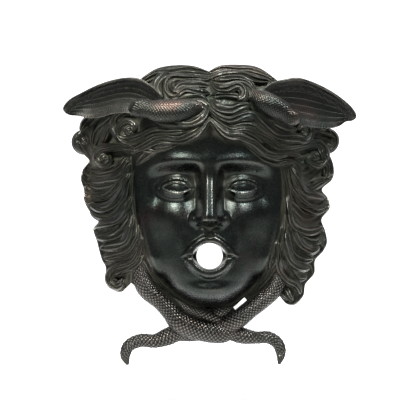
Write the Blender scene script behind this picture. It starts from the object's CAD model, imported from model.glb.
# A gorgon mask in dark patinated bronze, made round a fountain's spout, on a pale studio floor.
# The carving is worked out here in millimetres, on the same plan as the casting: x is to the
# viewer's right, z is up, relief is the height above the wall, and plan points are [x, z] from the
# spout's axis. Finished meshes are in metres in the part's own frame.

import math

import bpy
import numpy as np
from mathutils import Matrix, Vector


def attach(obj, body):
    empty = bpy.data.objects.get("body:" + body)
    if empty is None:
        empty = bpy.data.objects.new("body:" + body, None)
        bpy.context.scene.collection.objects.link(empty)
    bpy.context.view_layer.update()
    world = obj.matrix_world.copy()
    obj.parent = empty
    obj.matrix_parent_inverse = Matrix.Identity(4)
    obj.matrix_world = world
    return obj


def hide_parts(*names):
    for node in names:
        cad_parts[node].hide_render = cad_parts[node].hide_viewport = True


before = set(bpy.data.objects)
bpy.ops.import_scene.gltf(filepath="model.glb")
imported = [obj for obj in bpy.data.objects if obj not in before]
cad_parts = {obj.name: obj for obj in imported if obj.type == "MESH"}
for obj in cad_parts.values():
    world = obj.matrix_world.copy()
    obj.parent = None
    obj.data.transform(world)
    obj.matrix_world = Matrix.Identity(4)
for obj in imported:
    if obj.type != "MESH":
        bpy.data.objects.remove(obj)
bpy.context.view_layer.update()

# Sizes of the casting
SPOUT_RADIUS = 12.9
WALL = 6.0
RIM_WIDTH = 9.0
LOCK_DEPTH = 8.0
SNAKE_RADIUS = 9.5
WING_THICKNESS = 5.5
SLOT_WIDTH = 3.8
SLOT_LENGTH = 15.0
SLOT_PLACE = (30.5, -48.5)
SLOT_TURN = math.radians(40)
SEAT_HEIGHT = 176.5  # from the spout's axis up to the frame's origin

# Proportions of the face
FACE_HALF_WIDTH = 78.0
CHIN_HEIGHT = -51.0
NOSE_BASE_HEIGHT = 31.0
EYE_HEIGHT = 67.0
BROW_HEIGHT = 93.0
BROW_FALL = 5.0
BROW_SPAN = 29.0
BROW_RELIEF = 2.6
HAIRLINE_HEIGHT = 110.0
HAIRLINE_PEAK = 28.0
FACE_TOP_HEIGHT = 150.0
FACE_MIDDLE_HEIGHT = 30.0
FACE_RELIEF = 74.0
NOSE_PROJECTION = 22.0
NOSE_TIP_RELIEF = 1.25
NOSE_WING_RELIEF = 7.5
NOSTRIL_DEPTH = 5.0
EYE_SPACING = 33.0
EYE_HALF_WIDTH = 16.0
EYE_HALF_HEIGHT = 9.5
EYEBALL_RELIEF = 7.5
SOCKET_DEPTH = 8.0
SOCKET_CORNER_DEPTH = 4.0
LID_HALF_WIDTH = 14.0
UPPER_LID = 5.2
LOWER_LID = 3.8
LID_RELIEF = 1.7
LID_CREASE = 1.1
POUCH_CREASE = 0.7
MOUTH_HALF_WIDTH = 28.5
MOUTH_DEPTH = 9.0
MOUTH_LINE_DEPTH = 2.4
UPPER_LIP = 7.5
LOWER_LIP = 9.0
LIP_RELIEF = 5.0
FACE_COVER = 16.0
FACE_EDGE_LIFT = 0.4
SECTION_POWER = 2.5
EDGE_SHARE = 0.97

# Proportions of the hair
HAIR_RELIEF = 84.0
HAIR_EDGE_RELIEF = 8.0
HAIR_HALF_SPAN = 122.0
HAIR_TOP_HEIGHT = 192.0
CROWN_HEIGHT = 125.0
CROWN_SHARE = 0.97
HOLLOW_INSET = 1.12
LOW_DIP = 0.25
CHIN_DIP = 0.52
SIDE_POWER = 1.6
HAIR_FROM_SHARE = 0.97  # share of the face's width from which the casting is finished as hair
COARSE_STRANDS = 46
COARSE_STRAND_DEPTH = 1.3
FINE_STRANDS = 131
FINE_STRAND_DEPTH = 0.5
CURL_TIGHTENING = 0.55
LOCK_FULLNESS = 1.08
LOCK_STAGGER = 2.3  # neighbouring locks are this much higher and lower by turns
ROOT_REACH = 0.55
ROOT_WIDTH = 0.5
ROOT_DIP = 5.5
TIP_REACH = 0.3
TIP_TAPER = 0.4
TIP_DIP = 1.5
STRAND_HALF_WIDTH = 2.2
STRAND_WEAVE = 1.3
FINE_PER_STRAND = 3
GROOVE_DEPTH = 3.0
FINE_GROOVE_DEPTH = 0.28
EDGE_BLEND = 9.0
KNOB_LIFT = 2.0
KNOB_RISE = 0.9
KNOB_WINDINGS = 2.2
KNOB_GROOVE_DEPTH = 1.3

# Proportions of the snakes
TAIL_SHARE = 0.63
SCALE_LENGTH = 3.9
SCALES_AROUND = 14
SCALES_AROUND_TAIL = 9
SCALES_AROUND_HEAD = 18
SCALE_LENGTH_HEAD = 3.0
THIN_FROM = 0.62  # share of a tail's length from which it has fewer scales around
SCALE_RELIEF = 2.4
SCALE_SINK = 1.4
PLAIN_SINK = 0.4
SNAKE_EYE_BEARINGS = (50, 130)
SNAKE_EYE_PLACE = 0.885
SNAKE_EYE_RELIEF = 1.6
SNAKE_MOUTH_BEARING = 0.15
SNAKE_MOUTH_DEPTH = 0.9

# Proportions of the wings, with rows of short feathers, the coverts, behind the leading edge
FEATHERS = 7
FEATHER_STEP = 0.14
FEATHER_STEPS = np.array([0.001, 0.06, 0.2, 0.4, 0.6, 0.8, 0.94, 0.999])
QUILL_PLACE = 0.35
QUILL_RELIEF = 0.15
BARB_PITCH = 2.6
BARB_RELIEF = 0.2
COVERT_LENGTH = 6.5
COVERT_WIDTH = 9.0
COVERT_STEP = 0.8
COVERT_ROWS = 2.3
WING_CUP = 7.5
WING_RIM = 2.4
WING_FRONT_DROP = 3.0
WING_EDGE_ROUNDING = 2.0
TIP_FROM = 0.95

# Fineness
LOCK_PITCH = 1.75
LOCK_COLUMNS = 41
KNOB_SIDES = 36
KNOB_RINGS = 22
SNAKE_PITCH = 0.6
SNAKE_SIDES = 90
WING_ROWS = 240
FACE_ROWS = 240
FACE_COLUMNS = 181
OUTLINE_POINTS = 480
MASS_RINGS = 60
HOLLOW_RINGS = 70
SPOUT_SIDES = 96
FAR = 400.0

# The hair's outline as plan points, and the middle that its rings shrink towards
HAIR_OUTLINE = np.array([
    [0, 181], [20, 184], [45, 182], [64, 174], [90, 152], [112, 136], [124, 120], [121, 104],
    [121, 95], [125, 86], [123, 76], [113, 66], [119, 57], [120.5, 47], [112.5, 36], [116, 25],
    [118, 13], [114, 4], [106, -5], [105, -18], [96, -29], [94, -40], [85, -49], [76, -47.5],
    [69, -39], [48, -51], [28, -62], [0, -66], [-28, -62], [-46, -51], [-60, -42], [-73, -32],
    [-80, -27], [-87, -36], [-96, -35], [-104, -24], [-104, -12], [-108, -4], [-113, 14],
    [-116.5, 27], [-111.5, 34], [-121, 45], [-126, 56], [-126, 66], [-129, 76], [-127, 86],
    [-121, 95], [-126, 101], [-134, 112], [-129, 127], [-112, 140], [-90, 153], [-66, 172],
    [-45, 182], [-20, 184],
])
DOME_MIDDLE = np.array([0.0, 60.0])


def curl(x, z, radius, bearing, turn):
    """Points of a curl that winds inwards from a bearing, in degrees anticlockwise from +x."""
    steps = math.ceil(abs(turn) / 30)
    points = []
    for i in range(steps + 1):
        angle = math.radians(bearing + turn * i / steps)
        reach = radius * (1 - CURL_TIGHTENING * i / steps)
        points.append([x + reach * math.cos(angle), z + reach * math.sin(angle)])
    return points


# Locks: half width, lift over the hair's general surface, and the path from root to tip
LOCKS = [
    # crown, left
    [5.5, -2, [1, 179.5], [-16, 183], [-34, 184], [-51, 181], [-68, 173]],
    [5, 4, [-2, 175], [-17, 177], *curl(-33, 166.5, 10.5, 90, 200)],
    [5, 0, [-38, 181], [-49, 176], [-53, 167], [-49, 157]],
    [4.5, 1, [-2, 168], [-15, 171], [-28, 169], [-35, 162]],
    [4, 1, [-2, 161], [-14, 163], [-25, 163], [-32, 157]],
    [5, 2, [-3, 152], [-11, 157], [-21, 157], [-31, 154], [-41, 152]],
    [4, 1, [-2, 145], [-9, 151], [-17, 149]],
    # crown, right
    [5.2, -2, [-1, 180], [11, 184], [26, 185], [46, 183], [68, 170.5]],
    [4.5, 1, [1, 175], [12, 179], [27, 180], [42, 176], [58, 174]],
    [4, 2, [2, 174], [12, 172], [26, 173], [38, 171], [45, 164]],
    [4, 4, [2, 172], [7, 166], [17, 165], *curl(27, 159, 9, 90, -160)],
    [4, 0, [2, 158], [14, 159], [32, 156]],
    [5, 1, [2, 153], [8, 147], [20, 144], [31, 147], [42, 148]],
    [5, 2, [38, 167], [43, 158], [39, 149], [45, 141]],
    # forehead, left: down from the parting and out to the shell curl over the temple
    [5, 3, [-1, 146], [-8, 135], [-22, 130.5], [-38, 130.5], [-52, 133]],
    [6, 4, [-1, 141], [-9, 129.5], [-20, 124.5], [-34, 124], [-50, 125.5], [-64, 119],
        *curl(-79.5, 124.5, 11, -72, -280)],
    [5.5, 2, [-1, 135], [-11, 122.5], [-24, 116.5], [-38, 115.5], [-53, 114], [-65, 108], [-78, 103]],
    [4.5, 1, [-29, 112], [-41, 108.5], [-53, 105], [-64, 99], [-72, 91]],
    # forehead, right: three waves down from the parting, two of which end in curls
    [5, 3, [1, 145], [9, 138], [19, 134], [30, 137], [42, 138.5], [53, 131], [64, 121.5],
        [77, 117], *curl(93, 124.5, 9, -120, 280)],
    [5.5, 4, [1, 140], [8, 132], [19.5, 126], [31, 128], [42, 127], [53, 119], [65, 110.5],
        [78, 107], [91, 110], *curl(105, 99.5, 12.5, 100, -290)],
    [5, 2.5, [1, 134], [9, 125.5], [20, 118.5], [31, 118], [42, 112.5], [53, 104.5],
        [66, 101], [79, 102.5], [91, 98]],
    [4.5, 1, [32, 111], [44, 104.5], [56, 96.5], [68, 93], [80, 93.5], [91, 89]],
    [4.5, 1, [58, 133], [68, 127.5], [78, 124], [86, 126]],
    # temple, left
    [5.5, 4, [-66, 143], *curl(-82, 126.5, 17, 90, 165)],
    [4.5, 5, [-57, 104], [-74, 106], [-91, 108], *curl(-104.5, 98, 10, 75, 300)],
    [5, 0, [-97, 112], [-108, 105], *curl(-126, 115, 9.5, -70, -270)],
    [5.5, 0, [-98, 149], [-112, 141], [-122, 134], [-129, 126]],
    [5, 1, [-92, 143], [-103, 134], [-112, 123], [-116, 111]],
    [4.5, -1, [-95, 134], [-102, 124], [-107, 113]],
    # temple, right
    [4.5, 0, [106, 130], *curl(116, 114, 11.5, 75, -260)],
    [5, 0, [94, 142], [106, 135], [116, 126]],
    # thin ridges that frame the face, from the temples down to the jaw
    [3.2, -2.5, [-64, 104], [-74, 82], [-76.5, 58], [-75, 36], [-71, 16], [-65, -2],
        [-57, -19], [-48, -34]],
    [3.2, -2.5, [65, 101], [75, 79], [78, 54], [77.5, 32], [73, 12], [66, -6], [57, -22], [47, -35]],
    # side locks, left, from the temple down: each falls from the face and sweeps out to its tip
    [6.5, 0, [-82, 98], [-90, 89], [-101, 84], [-113, 84], [-123, 86]],
    [6.5, 0, [-80, 92], [-89, 80], [-101.5, 73], [-113.5, 72], [-124, 74.5]],
    [5.5, 1, [-79, 88], [-86, 75], [-93.5, 65.5], [-102.5, 60.5], [-113.5, 58.5], [-122.5, 59.5]],
    [5, 2, [-80, 80], [-86, 66], [-91.5, 56], [-100.5, 49.5], [-111, 47.5], [-119.5, 50.5]],
    [5, 0, [-79, 68], [-84, 54], [-91.5, 43.5], [-101.5, 39], [-112, 40], [-119, 45]],
    [4.5, 2, [-78, 56], [-84, 43], [-92.5, 35.5], [-103, 31.5], [-113.5, 28.5]],
    [5, 2, [-78, 50], [-80, 38], [-84, 28], [-91.5, 21], [-102.5, 17.5], [-112.5, 18]],
    [5, 0, [-76, 38], [-79, 25], [-84, 14.5], [-94, 9], [-108.5, 7.5]],
    [5.5, 2, [-71, 30], [-72, 15], [-77, 5], [-87, -0.5], [-104.5, -2.5]],
    [5.5, 1, [-68, 16], [-70, 4], [-75, -4], [-83, -9], *curl(-91.5, -23.5, 9, 98, 250)],
    [4, 1, [-66, 4], [-70, -6], [-77, -12], [-85, -15], [-92, -21]],
    # side locks, right
    [6, 0, [108, 106], [115.5, 96], [118.5, 86], [117, 79]],
    [5, 2, [80, 98], [87, 84], [91, 74], [100, 68.5], [110, 73], [120.5, 78.5]],
    [5, 0, [82, 86], [88, 73], [95, 63], [104.5, 59.5], [115, 57.5]],
    [5.5, 1, [82, 70], [90, 56], [98, 48], [107.5, 45.5], [116, 48.5]],
    [4.5, 3, [77, 58], [79, 43], [85, 31], [95.5, 25], [106, 25], [112.5, 28]],
    [5, 1, [77, 46], [81, 31], [88, 19], [99, 14.5], [108.5, 15.5], [113.5, 19]],
    [5, 0, [80, 32], [86, 19], [94, 9.5], [102.5, 5.5], [109.5, 8.5]],
    [4.5, 3, [75, 40], [76, 25], [79, 10], [86, -0.5], [95, -4.5], [102.5, -4]],
    [5, 1, [73, 28], [75, 13], [80, -3], [89, -12.5], [98.5, -13.5]],
    [5.5, 0, [72, 14], [74, 1], [80, -12.5], [89, -21], [96.5, -21.5]],
    [5, 2, [67, 12], [68, -2], [71, -15], [78, -23.5], [86.5, -29], [90, -37]],
    [6.5, 1, [63, 0], [64, -14], [68, -26.5], [75, -35.5], [82, -43.5]],
]
KNOBS = [[-79.5, 124.5, 5.5], [-104.5, 98, 7], [-126, 115, 5], [93, 124.5, 5], [105, 99.5, 5]]

# Snakes: x, z, relief of the crest, radius as a share of SNAKE_RADIUS, from neck to tail
TAILS = [
    [
        [-70, -4, 40, 0.79], [-64, -31, 36, 1], [-48, -45, 33, 0.98], [-37, -56, 34, 1.1],
        [-29, -65, 35, 1.28], [-14, -72, 34, 1.2], [0, -76, 32, 1.15], [12, -78, 28, 1],
        [21, -77, 24, 0.84], [33, -80.5, 21, 0.84], [47, -82.5, 17, TAIL_SHARE],
        [59, -82.5, 15, TAIL_SHARE], [68, -88, 14, TAIL_SHARE - 0.02],
        [71.5, -97, 13, TAIL_SHARE - 0.1], [70, -109.5, 10, 0.2],
    ],
    [
        [73, -4, 40, 0.79], [65, -33, 36, 0.84], [51.5, -45, 33, 0.92], [40, -53.5, 33, 0.95],
        [28, -62, 32, 1.12], [17, -68.5, 28, 1.12], [6, -72.5, 24, 1.05], [-8, -75.5, 22, 1],
        [-20, -76.5, 23, 1], [-32, -77.5, 22, 0.9], [-43, -82, 20, 0.9],
        [-55, -86, 17, TAIL_SHARE + 0.08], [-69, -85.5, 15, TAIL_SHARE + 0.05],
        [-81, -91, 14, TAIL_SHARE], [-84.5, -100, 13, TAIL_SHARE - 0.1], [-82, -110, 10, 0.2],
    ],
]
# Short coils of the knot that lie under the chin
KNOT = [
    [
        [-38, -46, 24, 0.45], [-27, -52, 28, 0.62], [-14, -56, 28, 0.7], [0, -60, 27, 0.75],
        [14, -66, 24, 0.7],
    ],
    [[34, -50, 22, 0.45], [24, -53, 25, 0.62], [13, -55.5, 26, 0.66], [3, -58, 24, 0.6]],
]
HEADS = [
    [
        [-7, 147, 80, 0.53], [-19, 145.5, 88.5, 0.95], [-34, 143, 90, 1.16], [-50, 143, 87.5, 1.16],
        [-60, 145, 83, 0.9], [-68, 146, 80, 1], [-75, 144, 76, 0.74], [-79, 142, 73, 0.42],
    ],
    [
        [40, 160, 72, 0.53], [51, 154.5, 82, 0.95], [62, 148, 83, 1.1], [71, 143, 79, 1.05],
        [76, 139, 76, 0.84], [81, 136, 73, 0.9], [85, 133, 69, 0.63], [87, 131, 65, 0.42],
    ],
]
WINGS = [
    {
        "leading": [
            [-46, 158, 66], [-58, 169, 60], [-70, 176, 53], [-83, 177, 47], [-98, 174.5, 41],
            [-112, 170, 35], [-127, 163, 29], [-140, 156, 23], [-147.5, 148.5, 18],
        ],
        "trailing": [
            [-56, 140, 62], [-70, 141, 54], [-84, 142, 48], [-97, 141, 42], [-108, 138, 37],
            [-120, 137, 31], [-131, 139.5, 26], [-140, 140.5, 21], [-146, 143.5, 17],
        ],
    },
    {
        "leading": [
            [46, 158, 66], [60, 171, 60], [73, 175, 53], [87, 177, 47], [101, 173.5, 41],
            [116, 167, 35], [130, 158.5, 29], [142, 148.5, 23], [148.5, 139.5, 18],
        ],
        "trailing": [
            [56, 142, 62], [69, 139, 54], [82, 134, 48], [95, 129, 42], [108, 127, 37],
            [121, 127, 31], [130, 129.5, 26], [137, 134, 21], [144, 134.5, 17],
        ],
    },
]


def smooth(start, end, v):
    t = np.clip((np.asarray(v, float) - start) / (end - start), 0, 1)
    return t * t * (3 - 2 * t)


def mix(a, b, t):
    return a + (b - a) * t


def bump(v, centre, spread):
    return np.exp(-(((np.asarray(v, float) - centre) / spread) ** 2))


def profile(pairs, v):
    """A smooth curve through [at, value] pairs, read at v."""
    p = np.asarray(pairs, float)
    v = np.clip(np.asarray(v, float), p[0, 0], p[-1, 0])
    last = len(p) - 1
    i = np.clip(np.searchsorted(p[:, 0], v, side="right") - 1, 0, last - 1)
    before, a, b, after = (p[np.clip(i + k, 0, last)] for k in (-1, 0, 1, 2))
    span = b[..., 0] - a[..., 0]
    t = (v - a[..., 0]) / span
    slope_a = (b[..., 1] - before[..., 1]) / (b[..., 0] - before[..., 0]) * span
    slope_b = (after[..., 1] - a[..., 1]) / (after[..., 0] - a[..., 0]) * span
    t2, t3 = t * t, t * t * t
    return (
        (2 * t3 - 3 * t2 + 1) * a[..., 1] + (t3 - 2 * t2 + t) * slope_a
        + (3 * t2 - 2 * t3) * b[..., 1] + (t3 - t2) * slope_b
    )


def curve(points, t, closed=False):
    """A centripetal curve through the points, read at t from 0 to 1, and its direction there."""
    p = np.asarray(points, float)
    n = len(p)
    segments = n if closed else n - 1
    if closed:
        ends = np.concatenate([p[-1:], p, p[:2]])
    else:
        ends = np.concatenate([2 * p[:1] - p[1:2], p, 2 * p[-1:] - p[-2:-1]])
    s = np.clip(np.asarray(t, float), 0, 1) * segments
    i = np.clip(s.astype(int), 0, segments - 1)
    w = (s - i)[:, None]
    p0, p1, p2, p3 = (ends[i + k] for k in range(4))
    d0, d1, d2 = (
        np.maximum(np.linalg.norm(b - a, axis=1), 1e-6)[:, None] ** 0.5
        for a, b in ((p0, p1), (p1, p2), (p2, p3))
    )
    m1 = ((p1 - p0) / d0 - (p2 - p0) / (d0 + d1) + (p2 - p1) / d1) * d1
    m2 = ((p2 - p1) / d1 - (p3 - p1) / (d1 + d2) + (p3 - p2) / d2) * d1
    c2 = -3 * p1 + 3 * p2 - 2 * m1 - m2
    c3 = 2 * p1 - 2 * p2 + m1 + m2
    place = p1 + m1 * w + c2 * w**2 + c3 * w**3
    way = m1 + 2 * c2 * w + 3 * c3 * w**2
    return place, way / np.maximum(np.linalg.norm(way, axis=1), 1e-9)[:, None]


def path_points(path, pitch):
    """Even points along a plan path: share of the path, distance, place, and sideways direction."""
    t = np.linspace(0, 1, 40 * (len(path) - 1) + 1)
    place, _ = curve(path, t)
    run = np.concatenate([[0], np.cumsum(np.linalg.norm(np.diff(place, axis=0), axis=1))])
    count = max(4, int(round(run[-1] / pitch)))
    even = np.interp(np.linspace(0, run[-1], count + 1), run, t)
    place, way = curve(path, even)
    side = np.stack([-way[:, 1], way[:, 0]], axis=1)
    return even, np.linspace(0, run[-1], count + 1), place, side


# The face: shares of its half width and of its relief, at shares of its height from the chin
FACE_HEIGHT = FACE_TOP_HEIGHT - CHIN_HEIGHT
FACE_WIDTHS = [
    [0, 0.3], [0.04, 0.42], [0.12, 0.62], [0.22, 0.78], [0.35, 0.9], [0.5, 0.98], [0.62, 1],
    [0.78, 0.98], [0.9, 0.9], [1, 0.78],
]
FACE_MIDDLE = [
    [0, 0.34], [0.03, 0.62], [0.08, 0.83], [0.14, 0.87], [0.22, 0.88], [0.34, 0.9], [0.5, 0.93],
    [0.62, 0.93], [0.74, 1], [0.86, 1.01], [1, 0.93],
]


def face_half_width(z):
    return FACE_HALF_WIDTH * profile(FACE_WIDTHS, (z - CHIN_HEIGHT) / FACE_HEIGHT)


def face_form(x, z):
    q = np.minimum(np.abs(x) / face_half_width(z), EDGE_SHARE)
    middle = FACE_RELIEF * profile(FACE_MIDDLE, (z - CHIN_HEIGHT) / FACE_HEIGHT)
    return middle * np.sqrt(1 - q**SECTION_POWER)


def brow_line(ax):
    return BROW_HEIGHT - BROW_FALL * ((ax - EYE_SPACING + 4) / BROW_SPAN) ** 2


def socket_depth(ax, z):
    crest = brow_line(ax)
    lower = z + 5 * ((ax - EYE_SPACING) / 24) ** 2
    under = smooth(2, -12, z - crest) * smooth(24, 66, lower)
    across = smooth(6, 15, ax) * smooth(66, 46, ax)
    return (SOCKET_DEPTH + SOCKET_CORNER_DEPTH * bump(ax, 15, 9)) * under * across


def brow(ax, z):
    across = smooth(3, 10, ax) * smooth(70, 48, ax)
    return BROW_RELIEF * bump(z, brow_line(ax) + 2, 6) * across


def eye(ax, z):
    """The eyeball and its two lids round an almond opening, with a crease over and under them."""
    u, v = ax - EYE_SPACING, z - EYE_HEIGHT
    out = np.hypot(u / EYE_HALF_WIDTH, v / EYE_HALF_HEIGHT)
    ball = EYEBALL_RELIEF * np.sqrt(np.maximum(0, 1 - out**2)) + 1.2 * bump(out, 1.08, 0.16)
    s = np.clip(u / LID_HALF_WIDTH, -1, 1)
    upper = UPPER_LID * (1 - s**2) ** 0.75 + 0.5 * s
    lower = -LOWER_LID * (1 - s**2) ** 0.9 + 0.5 * s
    inside = np.minimum(upper - v, v - lower)
    lids = LID_RELIEF * smooth(0.5, -0.5, inside) * smooth(1.55, 1.05, out)
    aside = np.abs(u / LID_HALF_WIDTH)
    crease = LID_CREASE * bump(v - upper, 3.6, 0.9) * smooth(1.15, 0.7, aside)
    pouch = POUCH_CREASE * bump(lower - v, 3.6, 1.2) * smooth(1.1, 0.6, aside)
    corner = 1.0 * bump(ax, EYE_SPACING - LID_HALF_WIDTH, 1.8) * bump(v, -0.6, 1.6)
    return ball + lids - crease - pouch - corner


def nose(ax, z):
    """A ridge from the brow to a rounded tip, with a soft wing and a nostril on each side."""
    share = smooth(BROW_HEIGHT - 3, NOSE_BASE_HEIGHT + 7, z)
    half = mix(10, 15, share)
    base = smooth(NOSE_BASE_HEIGHT - 3, NOSE_BASE_HEIGHT + 5, z)
    slope = np.clip((half - ax) / (0.86 * half), 0, 1)
    ridge = mix(3, NOSE_PROJECTION, share) * slope * slope * (3 - 2 * slope)
    brow_fade = smooth(BROW_HEIGHT + 14, BROW_HEIGHT - 8, z)
    tip = NOSE_TIP_RELIEF * bump(ax, 0, 7) * bump(z, NOSE_BASE_HEIGHT + 8, 6)
    across, up = (ax - 12.5) / 7.5, (z - NOSE_BASE_HEIGHT - 6) / 7.5
    wing = NOSE_WING_RELIEF * np.exp(-((across**2 + up**2) ** 1.4))
    aside, above = (ax - 7.5) / 3.4, (z - NOSE_BASE_HEIGHT + 0.5) / 2.2
    nostril = NOSTRIL_DEPTH * np.exp(-(aside**2) - above**2)
    crease = 0.9 * bump(np.hypot(across, up), 1.2, 0.2) * smooth(13, 17, ax)
    return ridge * base * brow_fade + tip + wing - nostril - crease


def lips(ax, z):
    """Two full lips that meet in pointed corners, parted round the spout, and the hollow inside."""
    bow = 1.3 * bump(ax, 6.5, 4.5) - 1.2 * bump(ax, 0, 3)
    parted = (SPOUT_RADIUS + 0.8) * np.clip(1 - (ax / 17) ** 2, 0, 1) ** 0.6
    corners = np.clip(1 - (ax / MOUTH_HALF_WIDTH) ** 2, 0.02, 1) ** 0.6
    round_spout = SPOUT_RADIUS * np.clip(1 - (ax / 25) ** 2, 0, 1) ** 0.75
    full = np.where(z > 0, UPPER_LIP + bow, LOWER_LIP) * corners
    full = full + np.maximum(0, round_spout - parted)
    beyond = (np.abs(z) - parted) / full
    band = smooth(-0.2, 0.15, beyond) * smooth(1.15, 0.6, beyond)
    hollow = MOUTH_DEPTH * smooth(0.3, 4.5, parted - np.abs(z))
    sag = 0.012 * (ax - 15) ** 2
    line = MOUTH_LINE_DEPTH * bump(z + sag, 0, 1.5) * smooth(14.5, 17, ax) * smooth(29, 25, ax)
    return LIP_RELIEF * band * smooth(29.5, 21, ax) - hollow - line


MOUNDS = [  # across, height, spread across, spread up, relief
    [47, EYE_HEIGHT - 23, 20, 13, 3.4],
    [50, 12, 15, 18, -2.2],
    [30, 18, 5, 12, 1.2],
    [24.5, 22, 3.0, 9, -1.0],
    [0, SPOUT_RADIUS + 12.5, 2.6, 4.5, -1.5],
    [5.5, SPOUT_RADIUS + 12, 2.2, 5, 0.7],
    [0, -SPOUT_RADIUS - 13, 18, 7, -1.8],
    [0, CHIN_HEIGHT + 13, 18, 14, 3.4],
    [0, BROW_HEIGHT + 4, 7, 8, 1.0],
]


def face_relief(x, z):
    ax = np.abs(x)
    relief = face_form(x, z) - socket_depth(ax, z) + brow(ax, z) + eye(ax, z)
    relief = relief + nose(ax, z) + lips(ax, z)
    for across, height, spread_across, spread_up, rise in MOUNDS:
        relief = relief + rise * bump(ax, across, spread_across) * bump(z, height, spread_up)
    return np.maximum(relief, WALL / 3)


# The hair's general surface, its mass and the hollow behind
def hair_relief(x, z):
    over = np.clip((z - CROWN_HEIGHT) / (HAIR_TOP_HEIGHT - CROWN_HEIGHT), 0, CROWN_SHARE)
    at_chin = CHIN_DIP * smooth(0, -42, z) * smooth(84, 62, np.abs(x))
    low = 1 - LOW_DIP * smooth(50, -40, z) - at_chin
    side = 1 - np.minimum(np.abs(x) / HAIR_HALF_SPAN, 1) ** SIDE_POWER
    rise = (HAIR_RELIEF - HAIR_EDGE_RELIEF) * np.sqrt(1 - over * over)
    return HAIR_EDGE_RELIEF + rise * low * side


def hair_floor(x, z):
    return np.maximum(HAIR_EDGE_RELIEF, hair_relief(x, z) - LOCK_DEPTH)


def face_share(x, z):
    across = np.abs(x) / face_half_width(z)
    down = (FACE_MIDDLE_HEIGHT - z) / (FACE_MIDDLE_HEIGHT - CHIN_HEIGHT)
    hairline = HAIRLINE_HEIGHT + HAIRLINE_PEAK * smooth(45, 0, np.abs(x))
    return np.maximum(across, down) + 2 * smooth(hairline, hairline + 10, z)


def mass_relief(x, z):
    floor = hair_floor(x, z)
    under = np.minimum(floor, np.maximum(WALL, face_form(x, z) - FACE_COVER))
    return mix(under, floor, smooth(0.85, 1.0, face_share(x, z)))


def face_to_hair(x, z):
    """The face, run softly into the mass of hair at its edges."""
    face, floor = face_relief(x, z), hair_floor(x, z) + FACE_EDGE_LIFT
    soft = (face + floor + np.sqrt((face - floor) ** 2 + EDGE_BLEND**2)) / 2
    return mix(face, soft, smooth(0.68, 0.93, face_share(x, z)))


def hollow_relief(x, z):
    inset = face_form(HOLLOW_INSET * x, np.where(z < 0, HOLLOW_INSET * z, z))
    floor = hair_floor(x, z)
    behind_face = np.minimum(inset - socket_depth(np.abs(x), z), floor) - WALL
    mouth = MOUTH_DEPTH * smooth(1.35, 0.9, np.hypot(x / 26, z / 20))
    return np.maximum(0, mix(behind_face - mouth, floor - WALL, smooth(1.1, 1.3, face_share(x, z))))


# Bodies: lists of points and triangles
def at(x, z, relief):
    return np.stack(np.broadcast_arrays(x, -np.asarray(relief), z), axis=-1).astype(float)


def loft(rings):
    """A closed body through rings of points, with a fan over each end."""
    rings = np.asarray(rings, float)
    count, sides = rings.shape[:2]
    points = rings.reshape(-1, 3)
    first = np.arange(sides)
    following = (first + 1) % sides
    base = np.arange(count - 1)[:, None] * sides
    a, b = base + first, base + following
    c, d = a + sides, b + sides
    faces = [
        np.stack([a, b, d], -1).reshape(-1, 3),
        np.stack([a, d, c], -1).reshape(-1, 3),
        np.stack([np.full(sides, len(points)), following, first], -1),
        np.stack([np.full(sides, len(points) + 1), points.shape[0] - sides + first,
                  points.shape[0] - sides + following], -1),
    ]
    points = np.concatenate([points, [rings[0].mean(0), rings[-1].mean(0)]])
    faces = np.concatenate(faces)
    corners = points[faces]
    volume = np.einsum("ij,ij->i", corners[:, 0], np.cross(corners[:, 1], corners[:, 2])).sum()
    return points, faces if volume > 0 else faces[:, ::-1]


def joined(bodies):
    points, faces, offset = [], [], 0
    for body_points, body_faces in bodies:
        points.append(body_points)
        faces.append(body_faces + offset)
        offset += len(body_points)
    return np.concatenate(points), np.concatenate(faces)


def mesh_object(name, body):
    """A Blender object from a body in millimetres on the mask's plan."""
    points, faces = body
    placed = (points - np.array([0, 0, SEAT_HEIGHT])) / 1000
    mesh = bpy.data.meshes.new(name)
    mesh.from_pydata(placed.tolist(), [], faces.tolist())
    mesh.update()
    piece = bpy.data.objects.new(name, mesh)
    bpy.context.scene.collection.objects.link(piece)
    return piece


def with_modifier(piece, kind, **settings):
    """Applies one modifier to a piece, which keeps the mesh that it makes."""
    modifier = piece.modifiers.new(kind, kind)
    for key, value in settings.items():
        setattr(modifier, key, value)
    depsgraph = bpy.context.evaluated_depsgraph_get()
    made = bpy.data.meshes.new_from_object(piece.evaluated_get(depsgraph))
    old = piece.data
    piece.modifiers.clear()
    piece.data = made
    bpy.data.meshes.remove(old)


def face_body():
    z = np.linspace(CHIN_HEIGHT, FACE_TOP_HEIGHT, FACE_ROWS)[:, None]
    half = face_half_width(z)
    share = np.linspace(-1, 1, FACE_COLUMNS)[None, :]
    x = half * mix(share, share**3, 0.2)
    z = np.broadcast_to(z, x.shape)
    front = at(x, z, face_to_hair(x, z))
    right = at(half, z[:, :1], 0.0)
    left = at(-half, z[:, :1], 0.0)
    return loft(np.concatenate([front, right, left], axis=1))


def outline_ring(share, inset, relief):
    place, _ = curve(HAIR_OUTLINE, np.arange(OUTLINE_POINTS) / OUTLINE_POINTS, closed=True)
    d = place - DOME_MIDDLE
    scale = share * (1 - inset / np.linalg.norm(d, axis=1))[:, None]
    p = DOME_MIDDLE + d * scale
    return at(p[:, 0], p[:, 1], relief(p[:, 0], p[:, 1]))


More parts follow.
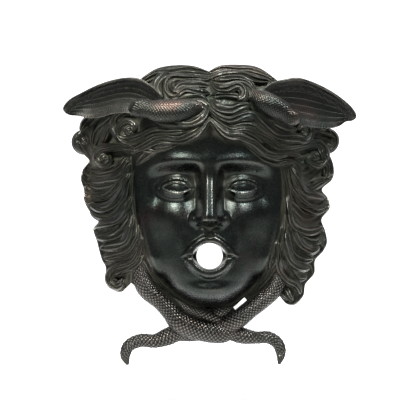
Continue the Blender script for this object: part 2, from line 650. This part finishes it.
def strand_texture(x, z):
    """Fine grooves in the mass of hair, fanning out from the face."""
    dx, dz = x - DOME_MIDDLE[0], z - DOME_MIDDLE[1]
    radius = np.hypot(dx, dz)
    turn = np.arctan2(dz, dx) + 0.06 * np.sin(radius / 7.0)
    coarse = COARSE_STRAND_DEPTH * (np.abs(np.sin(COARSE_STRANDS * turn)) - 1)
    fine = FINE_STRAND_DEPTH * (np.abs(np.sin(FINE_STRANDS * turn)) - 1)
    return (coarse + fine) * smooth(60, 90, radius) * smooth(-52, -30, z + 0.2 * np.abs(x))


def hair_mass():
    def surface(x, z):
        return mass_relief(x, z) + strand_texture(x, z)

    rings = [outline_ring(share, 0, surface) for share in np.linspace(0.4, 1, MASS_RINGS)]
    rings.append(outline_ring(1, 0, lambda x, z: 0 * x))
    return loft(rings)


def hollow_body():
    shares = np.linspace(0.03, 0.97, HOLLOW_RINGS)
    rings = [outline_ring(share, RIM_WIDTH, hollow_relief) for share in shares]
    rings.append(outline_ring(1, RIM_WIDTH, lambda x, z: 0 * x))
    rings.append(outline_ring(1, RIM_WIDTH, lambda x, z: 0 * x - WALL))
    return loft(rings)


ACROSS = np.linspace(-1, 1, LOCK_COLUMNS)


def rounded_end(run, reach):
    """Shares of the width towards an end, rounded off over a reach."""
    return np.sqrt(np.maximum(1 - (1 - np.clip(run / reach, 0, 1)) ** 2, 0.01))


def lock(row, stagger):
    """A lock of hair: a few broad strands that weave over each other, with fine grooves."""
    half, lift, *path = row
    half = half * LOCK_FULLNESS
    for end, next_to, reach in ((0, 1, ROOT_REACH), (-1, -2, TIP_REACH)):
        out = np.subtract(path[end], path[next_to])
        path[end] = (path[end] + out / np.linalg.norm(out) * half * reach).tolist()
    t, run, place, side = path_points(path, LOCK_PITCH)
    width = half * mix(ROOT_WIDTH, 1, smooth(0, 0.3, t)) * (1 - TIP_TAPER * smooth(0.7, 1, t))
    ends = rounded_end(run[-1] - run, 1.2 * half) * rounded_end(run, 1.2 * half)
    dip = ROOT_DIP * smooth(0.25, 0, t) + TIP_DIP * smooth(0.8, 1, t) + 0.6 * half * (1 - ends)
    crest = hair_relief(place[:, 0], place[:, 1]) + lift + stagger - dip
    width = (width * ends)[:, None]
    along = run[:, None]
    u = ACROSS[None, :]
    seed = path[0][0] * 0.37 + path[0][1] * 0.73
    inner = 1 - u * u
    broad = max(2, round(half / STRAND_HALF_WIDTH))
    sway = (0.24 * np.sin(along / 9.0 + seed) + 0.10 * np.sin(along / 4.1 + 2 * seed)) * inner
    place_across = broad * (u + sway + 1) / 2
    major = 1 - np.abs(np.sin(math.pi * place_across)) ** 0.6
    uneven = STRAND_WEAVE * np.sin(2.4 * place_across + along / 12.0 + seed * 5) * inner
    fine = FINE_PER_STRAND * place_across + 0.16 * np.sin(5.0 * u + seed * 3)
    minor = 1 - np.abs(np.sin(math.pi * fine)) ** 0.8
    up = (1 - np.abs(u) ** 2.2) ** 0.5
    grooves = GROOVE_DEPTH * major + FINE_GROOVE_DEPTH * minor - uneven
    grooves = grooves * smooth(1.0, 0.8, np.abs(u)) * ends[:, None]
    relief = crest[:, None] + (up - 1) * width * 0.9 - grooves
    x = place[:, :1] + side[:, :1] * u * width
    z = place[:, 1:] + side[:, 1:] * u * width
    foot = (crest - half * 0.8 - LOCK_DEPTH)[:, None]
    feet = [
        at(place[:, :1] + side[:, :1] * k * width, place[:, 1:] + side[:, 1:] * k * width, foot)
        for k in (0.8, -0.8)
    ]
    return loft(np.concatenate([at(x, z, relief), *feet], axis=1))


def knob(row):
    """A low dome in the middle of a curl, with a groove that winds into it."""
    x, z, radius = row
    base = hair_relief(x, z) + KNOB_LIFT - radius
    turn = np.linspace(0, 2 * math.pi, KNOB_SIDES, endpoint=False)
    rings = [at(x + radius * np.cos(turn), z + radius * np.sin(turn), base - LOCK_DEPTH + 0 * turn)]
    for out in np.linspace(1, 0.04, KNOB_RINGS):
        winding = bump((out * KNOB_WINDINGS - turn / (2 * math.pi)) % 1, 0.5, 0.16)
        groove = KNOB_GROOVE_DEPTH * winding * smooth(1, 0.85, out)
        rise = KNOB_RISE * radius * math.sqrt(1 - out**2.4) - groove
        reach = out * radius
        rings.append(at(x + reach * np.cos(turn), z + reach * np.sin(turn), base + rise))
    return loft(rings)


def scales(run, turn, radius, around, length):
    """Height of overlapping scales in staggered rows: run along the body, turn round it."""
    best = np.zeros(np.broadcast(run, turn).shape)
    for offset in (0, 0.5):
        a = run / length + offset
        b = turn / (2 * math.pi) * around + offset
        u, v = a - np.floor(a) - 0.5, b - np.floor(b) - 0.5
        dome = np.sqrt(np.maximum(0, 1 - (u / 0.5) ** 2 - (v / 0.47) ** 2))
        best = np.maximum(best, dome * (0.8 + 0.4 * u))
    return SCALE_RELIEF * best * np.minimum(1, radius / 4)


def snake(stations, head):
    """A scaly body round a path, thick or thin by its stations, with a plain head if it has one."""
    stations = np.asarray(stations, float)
    t, run, place, side = path_points(stations[:, :2], SNAKE_PITCH)
    steps = np.linspace(0, 1, len(stations))
    crest = profile(np.stack([steps, stations[:, 2]], 1), t)[:, None]
    radius = SNAKE_RADIUS * profile(np.stack([steps, stations[:, 3]], 1), t)[:, None]
    turn = np.linspace(0, 2 * math.pi, SNAKE_SIDES, endpoint=False)[None, :]
    plain = smooth(0.86, 0.93, t)[:, None] if head else np.zeros_like(radius)
    around = np.where(t[:, None] < THIN_FROM, SCALES_AROUND, SCALES_AROUND_TAIL)
    length = SCALE_LENGTH
    if head:
        around, length = SCALES_AROUND_HEAD, SCALE_LENGTH_HEAD
    scaly = scales(run[:, None], turn, radius, around, length) - SCALE_SINK
    grown = radius + mix(scaly, -PLAIN_SINK, plain)
    if head:
        for bearing in SNAKE_EYE_BEARINGS:
            off = (turn - math.radians(bearing)) * radius
            along = run[:, None] - SNAKE_EYE_PLACE * run[-1]
            grown = grown + SNAKE_EYE_RELIEF * np.exp(-((off / 2.2) ** 2) - (along / 2.4) ** 2)
        right, left = turn - SNAKE_MOUTH_BEARING, turn - math.pi + SNAKE_MOUTH_BEARING
        mouth = np.minimum(np.abs(right), np.abs(left)) * radius
        line = SNAKE_MOUTH_DEPTH * np.exp(-((mouth / 0.9) ** 2))
        grown = grown - line * smooth(0.84, 0.9, t)[:, None]
    across = grown * np.cos(turn)
    relief = crest - radius + grown * np.sin(turn)
    x = place[:, :1] + side[:, :1] * across
    z = place[:, 1:] + side[:, 1:] * across
    return loft(at(x, z, relief))


def wing(edges):
    """A hollowed blade under a thick leading edge: rows of short feathers, then long ones."""
    t = np.linspace(0, 1, WING_ROWS)
    lead, _ = curve(edges["leading"], t)
    trail, _ = curve(edges["trailing"], t)
    share = np.concatenate([(k + FEATHER_STEPS) / FEATHERS for k in range(FEATHERS)])[None, :]
    within = np.tile(FEATHER_STEPS, FEATHERS)[None, :]
    middle = (lead + trail) / 2
    beyond = np.maximum(0, t - TIP_FROM) / (1 - TIP_FROM)
    closing = np.sqrt(np.maximum(1 - beyond**2, 0.01))[:, None]
    lead, trail = (middle + (edge - middle) * closing for edge in (lead, trail))
    p = lead[:, None, :] + (trail - lead)[:, None, :] * share[..., None]
    t = t[:, None]
    span = np.linalg.norm(np.diff(lead, axis=0), axis=1).sum() * t
    chord = np.linalg.norm(trail - lead, axis=1)[:, None]
    across = share * chord
    cup = WING_CUP * np.sin(math.pi * share**0.75) * smooth(1, 0.6, t)
    long_step = FEATHER_STEP * (1 - within) * smooth(1, 0.85, t)
    quill = QUILL_RELIEF * bump(within, QUILL_PLACE, 0.09)
    slant = span + 1.2 * across * (within - QUILL_PLACE)
    barbs = BARB_RELIEF * np.abs(np.sin(math.pi * slant / BARB_PITCH))
    covert = across / COVERT_LENGTH
    row = covert + 0.3 * np.abs(np.sin(math.pi * (span / COVERT_WIDTH + np.floor(covert) / 2)))
    short_step = COVERT_STEP * (row - np.floor(row))
    short = smooth(COVERT_ROWS, 2.1, covert) * smooth(0.98, 0.9, t)
    rim = WING_RIM * bump(across, 1.5, 2.6) * smooth(1, 0.7, t)
    height = p[..., 2] - cup + mix(long_step + quill, short_step, short) - barbs + rim
    height = height - WING_EDGE_ROUNDING * bump(across, 0.0, 0.8)
    height = height - WING_FRONT_DROP * smooth(0.3, 1, share)
    front = at(p[..., 0], p[..., 1], height)
    back = at(p[..., 0], p[..., 1], p[..., 2] - cup - WING_THICKNESS)
    return loft(np.concatenate([front, back[:, ::-1]], axis=1))


def block_body(size, place, turn=0.0):
    corners = np.array([[-1, -1, -1], [1, -1, -1], [1, 1, -1], [-1, 1, -1],
                        [-1, -1, 1], [1, -1, 1], [1, 1, 1], [-1, 1, 1]]) * np.asarray(size) / 2
    along, aside = math.cos(turn), math.sin(turn)
    x, y, z = corners.T
    corners = np.stack([along * x - aside * z, y, aside * x + along * z], axis=1) + np.asarray(place)
    quads = [[0, 3, 2, 1], [4, 5, 6, 7], [0, 1, 5, 4], [2, 3, 7, 6], [1, 2, 6, 5], [3, 0, 4, 7]]
    faces = [face for a, b, c, d in quads for face in ([a, b, c], [a, c, d])]
    return corners, np.array(faces)


def spout_body():
    turn = np.linspace(0, 2 * math.pi, SPOUT_SIDES, endpoint=False)
    ring = np.stack([np.cos(turn) * SPOUT_RADIUS, 0 * turn, np.sin(turn) * SPOUT_RADIUS], axis=1)
    return loft([ring + [0, depth, 0] for depth in (-FAR, FAR)])


def cutters():
    behind = block_body((2 * FAR, FAR, 2 * FAR), (0, FAR / 2, 0))
    slot = block_body((SLOT_LENGTH, FAR, SLOT_WIDTH), (SLOT_PLACE[0], 0, SLOT_PLACE[1]), SLOT_TURN)
    bodies = {"hollow": hollow_body(), "wall": behind, "spout": spout_body(), "slot": slot}
    return [mesh_object(f"cut_{name}", body) for name, body in bodies.items()]


def cut(piece, tools):
    for tool in tools:
        with_modifier(piece, "BOOLEAN", operation="DIFFERENCE", object=tool, solver="MANIFOLD")
    return piece


def united(name, bodies):
    """One closed mesh from many that run into each other."""
    others = bpy.data.collections.new("to_join")
    bpy.context.scene.collection.children.link(others)
    first, *rest = [mesh_object(name, body) for body in bodies]
    for piece in rest:
        bpy.context.scene.collection.objects.unlink(piece)
        others.objects.link(piece)
    with_modifier(first, "BOOLEAN", operation="UNION", operand_type="COLLECTION",
                  collection=others, solver="MANIFOLD")
    for piece in rest:
        bpy.data.objects.remove(piece)
    bpy.data.collections.remove(others)
    return first


tools = cutters()
casting = cut(united("casting", [hair_mass(), face_body()]), tools)
strands = [lock(row, LOCK_STAGGER * (-1) ** i) for i, row in enumerate(LOCKS)]
hair = cut(united("locks_of_hair", strands + [knob(row) for row in KNOBS]), tools)
lower_snakes = mesh_object("lower_snakes", joined([snake(row, False) for row in TAILS + KNOT]))
brow_snakes = mesh_object("brow_snakes", joined([snake(row, True) for row in HEADS]))
wings = [mesh_object(f"wing_{side}", wing(edges)) for side, edges in zip(("left", "right"), WINGS)]
for piece in (lower_snakes, brow_snakes, *wings):
    cut(piece, tools)
for tool in tools:
    bpy.data.objects.remove(tool)


# Patinated bronze: near black with green and brown, dusty in its recesses, worn on its crests
HIDDEN_REACH = 0.014
COPPER = (0.15, 0.082, 0.062, 1)
DUST_ROUGHNESS = (0.62, 0.62, 0.62, 1)
POLISH_SPREAD = 0.14
NONE = (0, 0, 0)
ALL = (1, 1, 1)


def bronze_material(name, patina, dust, gloss, rubbed_from, least_worn):
    """Colours of the patina and its dust, the polish's roughness, and where crests are worn."""
    dark, middle, light, browned, worn = patina
    material = bpy.data.materials.new(name)
    material.use_nodes = True
    tree = material.node_tree
    nodes, link = tree.nodes, tree.links.new
    shader = nodes["Principled BSDF"]
    shader.inputs["Coat Weight"].default_value = 0.04
    shader.inputs["Specular IOR Level"].default_value = 0.15
    shader.inputs["Coat Roughness"].default_value = 0.25

    def node(kind, **values):
        made = nodes.new(kind)
        for key, value in values.items():
            if key in made.inputs:
                made.inputs[key].default_value = value
            else:
                setattr(made, key, value)
        return made

    def ramp(source, stops):
        made = nodes.new("ShaderNodeValToRGB")
        while len(made.color_ramp.elements) < len(stops):
            made.color_ramp.elements.new(0.5)
        for element, (place, colour) in zip(made.color_ramp.elements, stops):
            element.position = place
            element.color = (*colour, 1)
        link(source, made.inputs["Fac"])
        return made.outputs["Color"]

    def blend(share, a, b):
        made = nodes.new("ShaderNodeMix")
        made.data_type = "RGBA"
        for socket, value in ((made.inputs[0], share), (made.inputs[6], a), (made.inputs[7], b)):
            if isinstance(value, tuple):
                socket.default_value = value
            else:
                link(value, socket)
        return made.outputs[2]

    place = node("ShaderNodeTexCoord").outputs["Object"]

    def noise(scale, detail, roughness):
        made = node("ShaderNodeTexNoise", Scale=scale, Detail=detail, Roughness=roughness)
        link(place, made.inputs["Vector"])
        return made.outputs["Fac"]

    def product(a, b):
        made = node("ShaderNodeMath", operation="MULTIPLY")
        link(a, made.inputs[0])
        link(b, made.inputs[1])
        return made.outputs[0]

    clouds = noise(16.0, 5.0, 0.62)
    patches = noise(34.0, 3.0, 0.55)
    grain = noise(520.0, 4.0, 0.7)
    pits = noise(150.0, 5.0, 0.75)
    body = ramp(clouds, [(0.34, dark), (0.52, middle), (0.72, light)])
    stains = ramp(noise(24.0, 4.0, 0.6), [(0.54, NONE), (0.66, (0.7, 0.7, 0.7))])
    body = blend(stains, body, (*browned, 1))
    geometry = node("ShaderNodeNewGeometry")
    raised = ramp(geometry.outputs["Pointiness"], [(0.505, NONE), (0.60, ALL)])
    rubbed = ramp(patches, [(0.42, (least_worn,) * 3), (0.62, ALL)])
    crest = blend(product(raised, rubbed), body, (*worn, 1))
    coppery = ramp(patches, [(rubbed_from, NONE), (rubbed_from + 0.08, ALL)])
    facing = node("ShaderNodeSeparateXYZ")
    link(geometry.outputs["Normal"], facing.inputs[0])
    upward = ramp(facing.outputs["Z"], [(0.10, NONE), (0.45, ALL)])
    crest = blend(product(product(raised, coppery), upward), crest, COPPER)
    hidden = node("ShaderNodeAmbientOcclusion", Distance=HIDDEN_REACH)
    sunk = ramp(hidden.outputs["AO"], [(0.35, ALL), (0.80, NONE)])
    settled = ramp(clouds, [(0.40, dust[0]), (0.66, dust[1])])
    colour = blend(sunk, crest, settled)
    link(colour, shader.inputs["Base Color"])
    bare = ramp(hidden.outputs["AO"], [(0.35, (0.35, 0.35, 0.35)), (0.80, ALL)])
    link(bare, shader.inputs["Metallic"])
    polish = ramp(grain, [(0.3, (gloss,) * 3), (0.7, (gloss + POLISH_SPREAD,) * 3)])
    rough = blend(sunk, polish, DUST_ROUGHNESS)
    link(rough, shader.inputs["Roughness"])
    fine = node("ShaderNodeBump", Strength=0.22, Distance=0.0004)
    link(grain, fine.inputs["Height"])
    cast = node("ShaderNodeBump", Strength=0.30, Distance=0.0012)
    link(pits, cast.inputs["Height"])
    link(fine.outputs["Normal"], cast.inputs["Normal"])
    link(cast.outputs["Normal"], shader.inputs["Normal"])
    return material


# Patinas: dark, middle, light, browned and worn
COOL = (
    (0.006, 0.008, 0.007), (0.0085, 0.0102, 0.009), (0.013, 0.0135, 0.011),
    (0.012, 0.009, 0.009), (0.085, 0.080, 0.069),
)
WARM = (
    (0.007, 0.008, 0.007), (0.011, 0.011, 0.009), (0.019, 0.017, 0.014),
    (0.019, 0.012, 0.009), (0.085, 0.080, 0.069),
)
DARK = (
    (0.005, 0.006, 0.005), (0.008, 0.008, 0.007), (0.013, 0.012, 0.010),
    (0.012, 0.009, 0.008), (0.060, 0.056, 0.048),
)
BLACK = (
    (0.003, 0.004, 0.003), (0.006, 0.006, 0.005), (0.010, 0.009, 0.008),
    (0.011, 0.008, 0.007), (0.12, 0.11, 0.10),
)
# Dust: dark and pale
PALE_DUST = ((0.015, 0.018, 0.012), (0.032, 0.030, 0.022))
DARK_DUST = ((0.005, 0.006, 0.004), (0.012, 0.011, 0.009))
# Finishes: patina, dust, roughness, where in the noise copper starts to show, and least wear
FINISHES = {
    "face": (COOL, PALE_DUST, 0.22, 0.66, 0.15),
    "hair": (WARM, PALE_DUST, 0.24, 0.66, 0.15),
    "snakes": (WARM, DARK_DUST, 0.24, 0.50, 0.15),
    "wings": (DARK, PALE_DUST, 0.38, 0.66, 0.15),
    "tails": (BLACK, DARK_DUST, 0.18, 0.60, 0.8),
}
bronze = {name: bronze_material(f"bronze_{name}", *finish) for name, finish in FINISHES.items()}
dressed = [(casting, "face"), (hair, "hair"), (lower_snakes, "tails"), (brow_snakes, "snakes")]
for piece, finish in dressed + [(wing_piece, "wings") for wing_piece in wings]:
    piece.data.materials.clear()
    piece.data.materials.append(bronze[finish])
    if piece is casting:
        piece.data.materials.append(bronze["hair"])
        centres = np.empty(3 * len(piece.data.polygons))
        piece.data.polygons.foreach_get("center", centres)
        x, _, z = centres.reshape(-1, 3).T * 1000
        in_hair = face_share(x, z + SEAT_HEIGHT) > HAIR_FROM_SHARE
        piece.data.polygons.foreach_set("material_index", in_hair.astype(np.int32))
    piece.data.polygons.foreach_set("use_smooth", np.ones(len(piece.data.polygons), bool))
    piece.data.update()
    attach(piece, "root")
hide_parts("gorgon_mask")


# Floor, world, lights and camera
FLOOR_HALF = 2.0
FLOOR_GAP = 0.0005
FLOOR_ROUGHNESS = 0.35


def floor_material():
    material = bpy.data.materials.new("floor_white")
    material.use_nodes = True
    shader = material.node_tree.nodes["Principled BSDF"]
    shader.inputs["Base Color"].default_value = (1, 1, 1, 1)
    shader.inputs["Roughness"].default_value = FLOOR_ROUGHNESS
    return material


floor_z = min(v.co.z for v in lower_snakes.data.vertices) - FLOOR_GAP
floor_mesh = bpy.data.meshes.new("floor")
corners = [(-1, -1), (1, -1), (1, 1), (-1, 1)]
corners = [(FLOOR_HALF * x, FLOOR_HALF * y, floor_z) for x, y in corners]
floor_mesh.from_pydata(corners, [], [(0, 1, 2, 3)])
floor = bpy.data.objects.new("floor", floor_mesh)
floor_mesh.materials.append(floor_material())
bpy.context.scene.collection.objects.link(floor)

# A white backdrop behind the mask, and a dimmer room behind the camera
ROOM_SHADE = 0.4
BACKDROP_LIGHT = 1.6
BACKDROP_RANGE = (-0.35, 0.45)
BELOW_RANGE = (0.0, -0.03)
world = bpy.data.worlds.new("studio")
bpy.context.scene.world = world
world.use_nodes = True
sky, sky_link = world.node_tree.nodes, world.node_tree.links.new
split = sky.new("ShaderNodeSeparateXYZ")
sky_link(sky.new("ShaderNodeTexCoord").outputs["Generated"], split.inputs[0])
backdrop = sky.new("ShaderNodeMapRange")
backdrop.inputs["From Min"].default_value = BACKDROP_RANGE[0]
backdrop.inputs["From Max"].default_value = BACKDROP_RANGE[1]
backdrop.inputs["To Min"].default_value = ROOM_SHADE
backdrop.inputs["To Max"].default_value = BACKDROP_LIGHT
sky_link(split.outputs["Y"], backdrop.inputs["Value"])
below = sky.new("ShaderNodeMapRange")
below.inputs["From Min"].default_value = BELOW_RANGE[0]
below.inputs["From Max"].default_value = BELOW_RANGE[1]
sky_link(split.outputs["Z"], below.inputs["Value"])
lighter = sky.new("ShaderNodeMath")
lighter.operation = "MAXIMUM"
sky_link(backdrop.outputs["Result"], lighter.inputs[0])
sky_link(below.outputs["Result"], lighter.inputs[1])
sky_link(lighter.outputs[0], sky["Background"].inputs["Color"])
bpy.context.scene.view_settings.view_transform = "Standard"


MIDDLE = (-0.0095, -0.02, -0.121)
SOFTBOX_SPREAD = math.radians(50)
# Soft lights: name, place, size, power and colour
SOFTBOXES = [
    ("softbox_left", (-0.55, -0.85, 0.62), (0.36, 0.26), 5.2, (1.0, 0.99, 0.96)),
    ("softbox_right", (0.50, -0.75, 0.72), (0.32, 0.26), 5.2, (0.93, 0.97, 1.0)),
    ("softbox_above", (0.0, -0.25, 0.95), (1.0, 0.5), 3.0, (1.0, 1.0, 1.0)),
]


def softbox(name, place, size, power, colour):
    """A soft light that faces the middle of the mask."""
    data = bpy.data.lights.new(name, "AREA")
    data.shape = "RECTANGLE"
    data.size, data.size_y = size
    data.energy = power
    data.spread = SOFTBOX_SPREAD
    data.color = colour
    light = bpy.data.objects.new(name, data)
    bpy.context.scene.collection.objects.link(light)
    light.location = place
    light.rotation_euler = (Vector(MIDDLE) - Vector(place)).to_track_quat("-Z", "Y").to_euler()


for row in SOFTBOXES:
    softbox(*row)

LENS = 300.0
SENSOR = 36.0
VIEW_WIDTH = 0.4
distance = VIEW_WIDTH * LENS / SENSOR
camera_data = bpy.data.cameras.new("camera")
camera_data.lens = LENS
camera_data.sensor_width = SENSOR
camera_data.clip_end = 50
camera = bpy.data.objects.new("camera", camera_data)
bpy.context.scene.collection.objects.link(camera)
camera.location = (MIDDLE[0], MIDDLE[1] - distance, MIDDLE[2])
camera.rotation_euler = (math.radians(90), 0, 0)
bpy.context.scene.camera = camera
